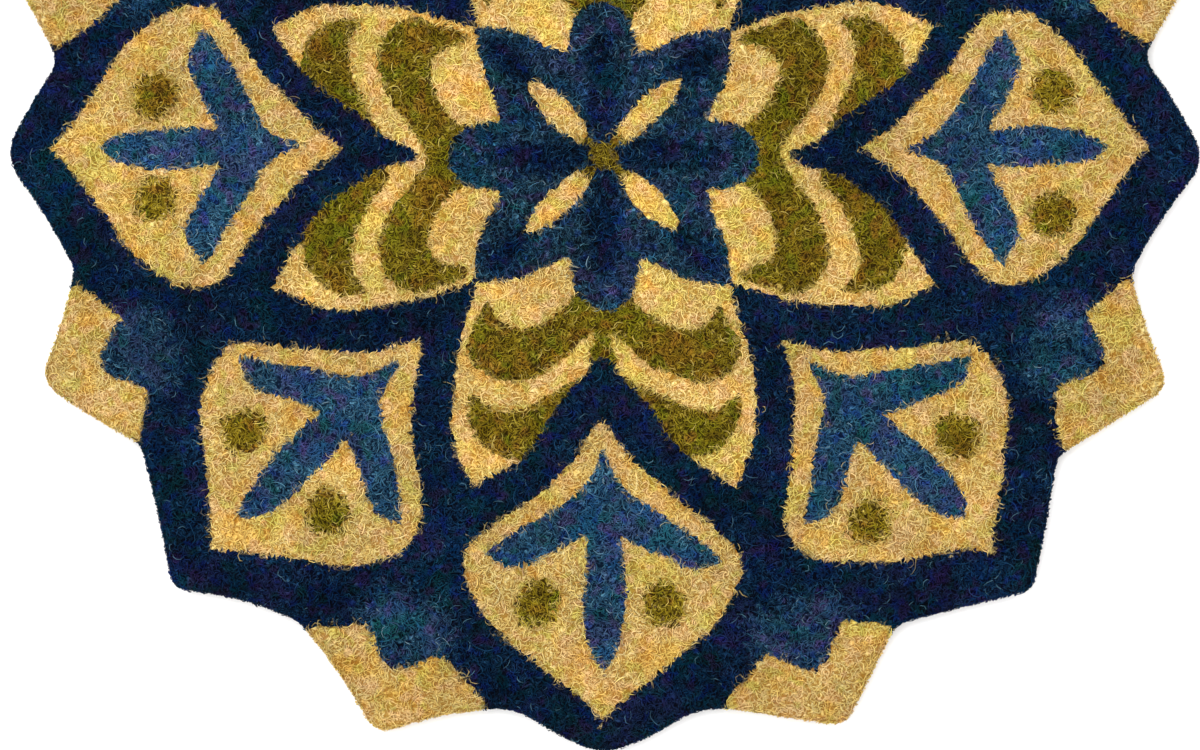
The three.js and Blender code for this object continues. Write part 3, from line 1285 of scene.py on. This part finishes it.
@dataclass
class CutPile:
    """The coir pile: short bent strands, curled ones over them and a few long loose ones."""

    edge: CutEdge
    medallion: Medallion
    under_pitch: float = 4.5 * MM
    top_pitch: float = 3.45 * MM
    curled_pitch: float = 12.0 * MM
    long_pitch: float = 24.0 * MM
    fuzz: float = 0.12 * MM
    margin: float = 0.3 * MM
    rim_width: float = 6.0 * MM
    rim_drop: float = 2.6 * MM
    # painted shade: the pile's dye is weakened near the cut edge, so that the rounded rim looks shaded
    painted_rim_shade: float = 0.7
    painted_rim_width: float = 3.0 * MM
    strength_spread: float = 0.04
    tone_middle: float = 0.45
    tone_spread: float = 0.2
    rusty_share: float = 0.35
    long_tone: float = 0.4

    def sown(self, pitch: float, rng: np.random.Generator) -> np.ndarray:
        """Scatters places evenly over the mat.

        Args:
            pitch: About how far apart they lie, in metres.
            rng: Random numbers.

        Returns:
            The places, one row each.
        """
        span = self.edge.reaches.max()
        row = pitch * math.sqrt(3) / 2
        ys = np.arange(-span, span, row)
        xs = np.arange(-span, span, pitch)
        grid_x, grid_y = np.meshgrid(xs, ys)
        grid_x[1::2] += pitch / 2
        places = np.stack([grid_x.ravel(), grid_y.ravel()], axis=1)
        places += rng.uniform(-0.5, 0.5, places.shape) * pitch
        return places[self.edge.room_at(places) > self.margin]

    def trimmed(self, paths: np.ndarray, middles: np.ndarray) -> np.ndarray:
        """Turns back or shortens the strands that would stick out past the cut edge.

        Args:
            paths: The strands' paths.
            middles: Their middles, seen from above.

        Returns:
            The paths, all but a little fuzz inside the outline.
        """
        for share in (-1.0, 0.5, 0.4, 0.3):
            out = self.edge.room_at(paths[:, :, :2]).min(axis=1) < -self.fuzz
            offset = paths[out, :, :2] - middles[out][:, None]
            paths[out, :, :2] = middles[out][:, None] + offset * share
        return paths

    def rounded(self, paths: np.ndarray) -> np.ndarray:
        """Lowers the strands near the cut edge, so that the rim is softly rounded.

        Args:
            paths: The strands' paths.

        Returns:
            The lowered paths.
        """
        room = np.clip(self.edge.room_at(paths[:, :, :2]), 0, self.rim_width)
        drop = self.rim_drop * (1 - room / self.rim_width) ** 2
        paths[:, :, 2] -= drop.mean(axis=1)[:, None]
        return paths

    def grown(self, form: StrandForm, pitch: float, rng: np.random.Generator) -> tuple[Strands, np.ndarray]:
        """Grows one form of strand over the whole mat.

        Args:
            form: The strand's form.
            pitch: How far apart the strands stand.
            rng: Random numbers.

        Returns:
            The strands and each one's dye.
        """
        middles = self.sown(pitch, rng)
        paths, thick = form.grow(middles, self.edge.top_at(middles), rng)
        dye, strength = self.medallion.dye_at(middles / MM, rng)
        paths = self.rounded(self.trimmed(paths, middles))
        stain, beside = self.medallion.stains_along(paths / MM, dye, strength, rng)
        # painted shade: weakens the dye near the cut edge, so that the rim looks shaded
        strength *= np.interp(self.edge.room_at(middles), [0.0, self.painted_rim_width], [self.painted_rim_shade, 1.0])
        strength = np.clip(strength + rng.normal(0.0, self.strength_spread, len(strength)), 0.0, 1.0)
        tone = np.clip(rng.normal(self.tone_middle, self.tone_spread, len(dye)), 0.0, 1.0)
        hue = rng.random(len(dye))
        rusty = (dye == Dye.TAN.value) & (beside == Dye.BLUE.value)
        hue[rusty & (rng.random(len(dye)) < self.rusty_share)] = 1.0
        return Strands(paths, thick, tone, hue, strength, stain), dye

    def build(self, rng: np.random.Generator) -> list[bpy.types.Object]:
        """Makes every piece of the pile.

        Args:
            rng: Random numbers.

        Returns:
            The pieces.
        """
        under, under_dye = self.grown(UNDER_STRAND, self.under_pitch, rng)
        top, top_dye = self.grown(TOP_STRAND, self.top_pitch, rng)
        curled, curled_dye = self.grown(CURLED_STRAND, self.curled_pitch, rng)
        long_ones, long_dye = self.grown(LONG_STRAND, self.long_pitch, rng)
        long_ones.tone[:] = np.clip(long_ones.tone + self.long_tone, 0.0, 1.0)
        pieces = []
        for dye in Dye:
            colour = dye.name.lower()
            lower = under.only(under_dye == dye.value)
            pieces.append(self.dressed(bundle(f"{colour}_under_strands", [lower]), dye))
            upper = top.only(top_dye == dye.value)
            parts = 2 if dye in (Dye.NAVY, Dye.TAN) else 1
            for part in range(parts):
                share = upper.only(np.arange(upper.count()) % parts == part)
                name = f"{colour}_top_strands" + (f"_{part + 1}" if parts > 1 else "")
                pieces.append(self.dressed(bundle(name, [share]), dye))
            curls = [curled.only(curled_dye == dye.value), long_ones.only(long_dye == dye.value)]
            pieces.append(self.dressed(bundle(f"{colour}_curled_strands", curls), dye))
        return pieces

    @staticmethod
    def dressed(piece: bpy.types.Object, dye: Dye) -> bpy.types.Object:
        """Gives a piece its dye's finish.

        Args:
            piece: The piece.
            dye: Its dye.

        Returns:
            The same piece.
        """
        finish = FINISHES[dye]
        material = bpy.data.materials.get(finish.name) or finish.material()
        piece.data.materials.append(material)
        return piece


@dataclass
class EdgeFibres:
    """The cut side of the mat: upright fibres, dyed above and natural near the floor."""

    edge: CutEdge
    medallion: Medallion
    spacing: float = 1.15 * MM
    tiers: tuple[tuple[float, float], ...] = ((0.2, 3.6), (1.8, 7.2), (4.4, 10.4), (7.2, 13.6))
    unevenness: tuple[tuple[float, float], ...] = ((-0.2, 0.8), (-0.8, 0.8), (-1.2, 0.9))
    proud: float = 0.1 * MM
    thickness: float = 0.92 * MM
    profile: tuple[tuple[float, float], ...] = ((0, 1.9), (2.2, 1.3), (8.5, 0.2), (12.2, 1.0), (15, 3.4))
    colour_from: float = 6.0 * MM
    tone_middle: float = 0.4
    tone_spread: float = 0.2
    natural_feet: float = 0.85
    natural_strength: float = 0.22
    scatter: float = 0.4 * MM
    sway: float = 0.9 * MM
    sway_reach: float = 0.35
    fewest: int = 50

    def build(self, rng: np.random.Generator) -> list[bpy.types.Object]:
        """Makes the side's fibres.

        Args:
            rng: Random numbers.

        Returns:
            The pieces, one for each dye at the edge; the undyed feet go with the tan ones.
        """
        ring = self.edge.evened(self.spacing)
        batches = []
        dyes = []
        for tier, (low, high) in enumerate(self.tiers):
            places = ring + rng.normal(0.0, self.scatter, ring.shape)
            count = len(places)
            levels = (low, (low + high) / 2, high)
            heights = [
                level * MM + rng.uniform(down, up, count) * MM
                for level, (down, up) in zip(levels, self.unevenness)
            ]
            heights = np.stack(heights, axis=1)
            level, inset = np.array(self.profile).T * MM
            drawn_in = np.interp(heights, level, inset)
            drawn_in -= rng.uniform(-self.proud, self.proud, drawn_in.shape)
            reach = self.edge.reach_at(places)[:, None] - drawn_in
            sway = rng.normal(0.0, self.sway, heights.shape) / self.sway_reach
            angle = np.arctan2(places[:, 1], places[:, 0])[:, None] + sway
            paths = np.stack([reach * np.cos(angle), reach * np.sin(angle), heights], axis=2)
            inward = places * (1 - self.colour_from / self.edge.reach_at(places))[:, None]
            dye, strength = self.medallion.dye_at(inward / MM, rng)
            if tier == 0:
                natural = rng.random(count) < self.natural_feet
                dye[natural] = Dye.TAN.value
                strength[natural] = self.natural_strength
            tone = np.clip(rng.normal(self.tone_middle, self.tone_spread, count), 0, 1)
            thick = self.thickness * rng.uniform(0.8, 1.2, count)
            stain = np.zeros((count, 3, 4))
            batches.append(Strands(paths, thick, tone, rng.random(count), strength, stain))
            dyes.append(dye)
        pieces = []
        for dye in Dye:
            mine = [batch.only(found == dye.value) for batch, found in zip(batches, dyes)]
            mine = [batch for batch in mine if batch.count()]
            if sum(batch.count() for batch in mine) > self.fewest:
                pieces.append(CutPile.dressed(bundle(f"{dye.name.lower()}_edge_fibres", mine), dye))
        return pieces


@dataclass
class MattedBed:
    """The matted coir that the strands stand in, from the floor to just under their tips."""

    edge: CutEdge
    medallion: Medallion
    pitch: float = 3.2 * MM
    depth: float = 1.7 * MM
    rim_spacing: float = 3.2 * MM
    natural_below: float = 5.0 * MM
    natural_strength: float = 0.3
    side: tuple[tuple[float, float], ...] = ((0.0, 2.2), (2.2, 1.6), (8.3, 0.55), (11.0, 1.3), (12.8, 3.4))
    clear_of_rim: float = 7.5 * MM
    colour_from: float = 5.0 * MM
    top_chart: tuple[float, float, float] = (0.39, 0.39, 0.76)
    base_chart: tuple[float, float, float] = (0.89, 0.2, 0.2)
    side_chart: tuple[float, float] = (0.8, 0.045)
    chart_margin: float = 1.02

    def build(self, rng: np.random.Generator) -> bpy.types.Object:
        """Makes the bed, closed all round.

        Args:
            rng: Random numbers.

        Returns:
            The bed's object.
        """
        rim = self.edge.evened(self.rim_spacing)
        count = len(rim)
        levels = [self.level(rim, height * MM, inset * MM) for height, inset in self.side]
        border = levels[-1][:, :2]
        inner = CutPile(self.edge, self.medallion).sown(self.pitch, rng)
        inner = inner[self.edge.room_at(inner) > self.clear_of_rim]
        flat = [Vector(p) for p in np.vstack([border, inner])]
        loop = [(i, (i + 1) % count) for i in range(count)]
        places, _, faces, *_ = geometry.delaunay_2d_cdt(flat, loop, [], 1, 1e-7)
        places = np.array([tuple(p) for p in places])
        tops = self.edge.top_at(places) - self.depth
        tops[:count] = levels[-1][:, 2]
        surface = np.column_stack([places, tops])
        base = geometry.delaunay_2d_cdt([Vector(p) for p in levels[0][:, :2]], loop, [], 1, 1e-7)[2]
        points = np.vstack([surface, *levels[:-1]])
        starts = [len(surface) + i * count for i in range(len(levels) - 1)] + [0]
        corners, counts, chart = [], [], []

        def add(face: tuple[int, ...], spots: list[tuple[float, float]]) -> None:
            """Adds a face.

            Args:
                face: Its points.
                spots: Where its corners lie on the flat map.
            """
            corners.extend(face)
            counts.append(len(face))
            chart.extend(spots)

        for face in faces:
            turned = self.facing_up(face, places)
            add(turned, self.charted(places, turned, self.top_chart))
        for face in base:
            turned = tuple(reversed(self.facing_up(face, levels[0])))
            add(tuple(starts[0] + i for i in turned), self.charted(rim, turned, self.base_chart))
        foot, band_height = self.side_chart
        for low, high, band in zip(starts[:-1], starts[1:], range(len(starts))):
            v0, v1 = foot + band_height * band, foot + band_height * (band + 1)
            for i in range(count):
                after = (i + 1) % count
                u0, u1 = i / count, (i + 1) / count
                wall = (low + i, low + after, high + after, high + i)
                add(wall, [(u0, v0), (u1, v0), (u1, v1), (u0, v1)])
        piece = joined_mesh("coir_bed", points, np.array(corners), np.array(counts), np.array(chart))
        self.colour(piece, rng)
        return piece

    def charted(
        self, places: np.ndarray, face: tuple[int, ...], chart: tuple[float, float, float]
    ) -> list[tuple[float, float]]:
        """Lays a flat face on the flat map.

        Args:
            places: Where the points lie, seen from above.
            face: The face's points.
            chart: The middle of the mat's picture on the map, across and up, and its width.

        Returns:
            Where each corner lies on the map.
        """
        across, up, width = chart
        span = 2 * self.chart_margin * self.edge.reaches.max()
        return [(across + width * places[i][0] / span, up + width * places[i][1] / span) for i in face]

    def level(self, rim: np.ndarray, height: float, inset: float) -> np.ndarray:
        """Places one ring of the bed's side.

        Args:
            rim: The outline's points.
            height: The ring's height.
            inset: How far inside the outline it lies.

        Returns:
            The ring's points.
        """
        reach = np.hypot(rim[:, 0], rim[:, 1])
        return np.column_stack([rim * (1 - inset / reach)[:, None], np.full(len(rim), height)])

    @staticmethod
    def facing_up(face: tuple[int, ...], places: np.ndarray) -> tuple[int, ...]:
        """Turns a face's corners counter-clockwise, as seen from above.

        Args:
            face: The face's points.
            places: Where the points lie, seen from above.

        Returns:
            The face's points in that order.
        """
        x, y = (np.array([places[i][k] for i in face]) for k in range(2))
        area = float(np.dot(x, np.roll(y, -1)) - np.dot(y, np.roll(x, -1)))
        return tuple(face) if area > 0 else tuple(reversed(face))

    def colour(self, piece: bpy.types.Object, rng: np.random.Generator) -> None:
        """Dyes the bed face by face, and leaves it natural at its foot and underneath.

        Args:
            piece: The bed.
            rng: Random numbers.
        """
        faces = piece.data.polygons
        middles = np.empty(len(faces) * 3, np.float32)
        faces.foreach_get("center", middles)
        middles = middles.reshape(-1, 3).astype(float)
        reach = np.maximum(np.hypot(middles[:, 0], middles[:, 1]), 1e-6)
        limit = self.edge.reach_at(middles) - self.colour_from
        held = middles[:, :2] * np.minimum(1.0, limit / reach)[:, None]
        dye, strength = self.medallion.dye_at(held / MM, rng)
        stain, _ = self.medallion.stains_at(held / MM, dye, rng)
        natural = middles[:, 2] < self.natural_below
        dye[natural] = Dye.TAN.value
        strength[natural] = self.natural_strength
        stain[natural, 3] = 0.0
        mark(piece, "dye_strength_and_rim_shade", strength, "FACE")
        mark(piece, "stain", stain, "FACE")
        for each in Dye:
            piece.data.materials.append(GroundFinish(FINISHES[each]).material())
        faces.foreach_set("material_index", dye.astype(np.int32))


@dataclass
class Studio:
    """The pale floor, the soft light and the camera over the mat."""

    view_width: float = 0.7077
    view_centre: tuple[float, float] = (-0.0021, -0.1286)
    camera_height: float = 2.6
    floor_size: float = 9.0
    sky: float = 1.48
    key_power: float = 20.0
    key_place: tuple[float, float, float] = (-0.6, 0.5, 2.0)

    def build(self) -> None:
        """Sets up the floor, the light and the camera."""
        self.lay_floor()
        self.light()
        self.aim_camera()
        bpy.context.scene.view_settings.view_transform = "Standard"

    def lay_floor(self) -> None:
        """Lays a plain pale floor under the mat."""
        half = self.floor_size / 2
        mesh = bpy.data.meshes.new("floor")
        corners = [(-half, -half, 0), (half, -half, 0), (half, half, 0), (-half, half, 0)]
        mesh.from_pydata(corners, [], [(0, 1, 2, 3)])
        floor = bpy.data.objects.new("floor", mesh)
        bpy.context.scene.collection.objects.link(floor)
        bench = NodeBench("pale floor")
        shade = bench.stretch(bench.noise(scale=3.0), 0.0, 1.0, 0.93, 0.96)
        bench.set_surface({"Base Color": bench.grey(shade), "Roughness": 0.9, "Specular IOR Level": 0.1})
        mesh.materials.append(bench.material)

    def light(self) -> None:
        """Lights the mat softly from all round, a little more from the far left."""
        world = bpy.data.worlds.new("soft studio")
        world.use_nodes = True
        background = world.node_tree.nodes["Background"]
        background.inputs["Color"].default_value = (1.0, 1.0, 1.0, 1.0)
        background.inputs["Strength"].default_value = self.sky
        bpy.context.scene.world = world
        lamp = bpy.data.lights.new("soft box", "AREA")
        lamp.size = 1.2
        lamp.energy = self.key_power
        box = bpy.data.objects.new("soft box", lamp)
        box.location = self.key_place
        box.rotation_euler = (-box.location).to_track_quat("-Z", "Y").to_euler()
        bpy.context.scene.collection.objects.link(box)

    def aim_camera(self) -> None:
        """Hangs the camera straight over the mat, looking down."""
        data = bpy.data.cameras.new("overhead")
        data.sensor_width = 36.0
        data.lens = data.sensor_width * self.camera_height / self.view_width
        camera = bpy.data.objects.new("overhead", data)
        camera.location = (*self.view_centre, self.camera_height)
        bpy.context.scene.collection.objects.link(camera)
        bpy.context.scene.camera = camera


def triangles(piece: bpy.types.Object) -> int:
    """Counts a piece's triangles.

    Args:
        piece: The piece.

    Returns:
        How many triangles its faces split into.
    """
    counts = np.empty(len(piece.data.polygons), np.int32)
    piece.data.polygons.foreach_get("loop_total", counts)
    return int((counts - 2).sum())


def main() -> None:
    """Builds the doormat around its frame and sets it in the studio."""
    logging.basicConfig(level=logging.INFO, format="%(name)s: %(message)s")
    rng = np.random.default_rng(SEED)
    edge = CutEdge(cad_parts[MAT_NODE])
    medallion = Medallion()
    bed = MattedBed(edge, medallion).build(rng)
    pile = CutPile(edge, medallion).build(rng)
    sides = EdgeFibres(edge, medallion).build(rng)
    for piece in (bed, *pile, *sides):
        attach(piece, BODY)
        LOG.info("%s: %d triangles", piece.name, triangles(piece))
    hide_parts(MAT_NODE)
    edge.size()
    LOG.info("all: %d triangles", sum(triangles(piece) for piece in (bed, *pile, *sides)))
    Studio().build()


if __name__ == "__main__":
    main()
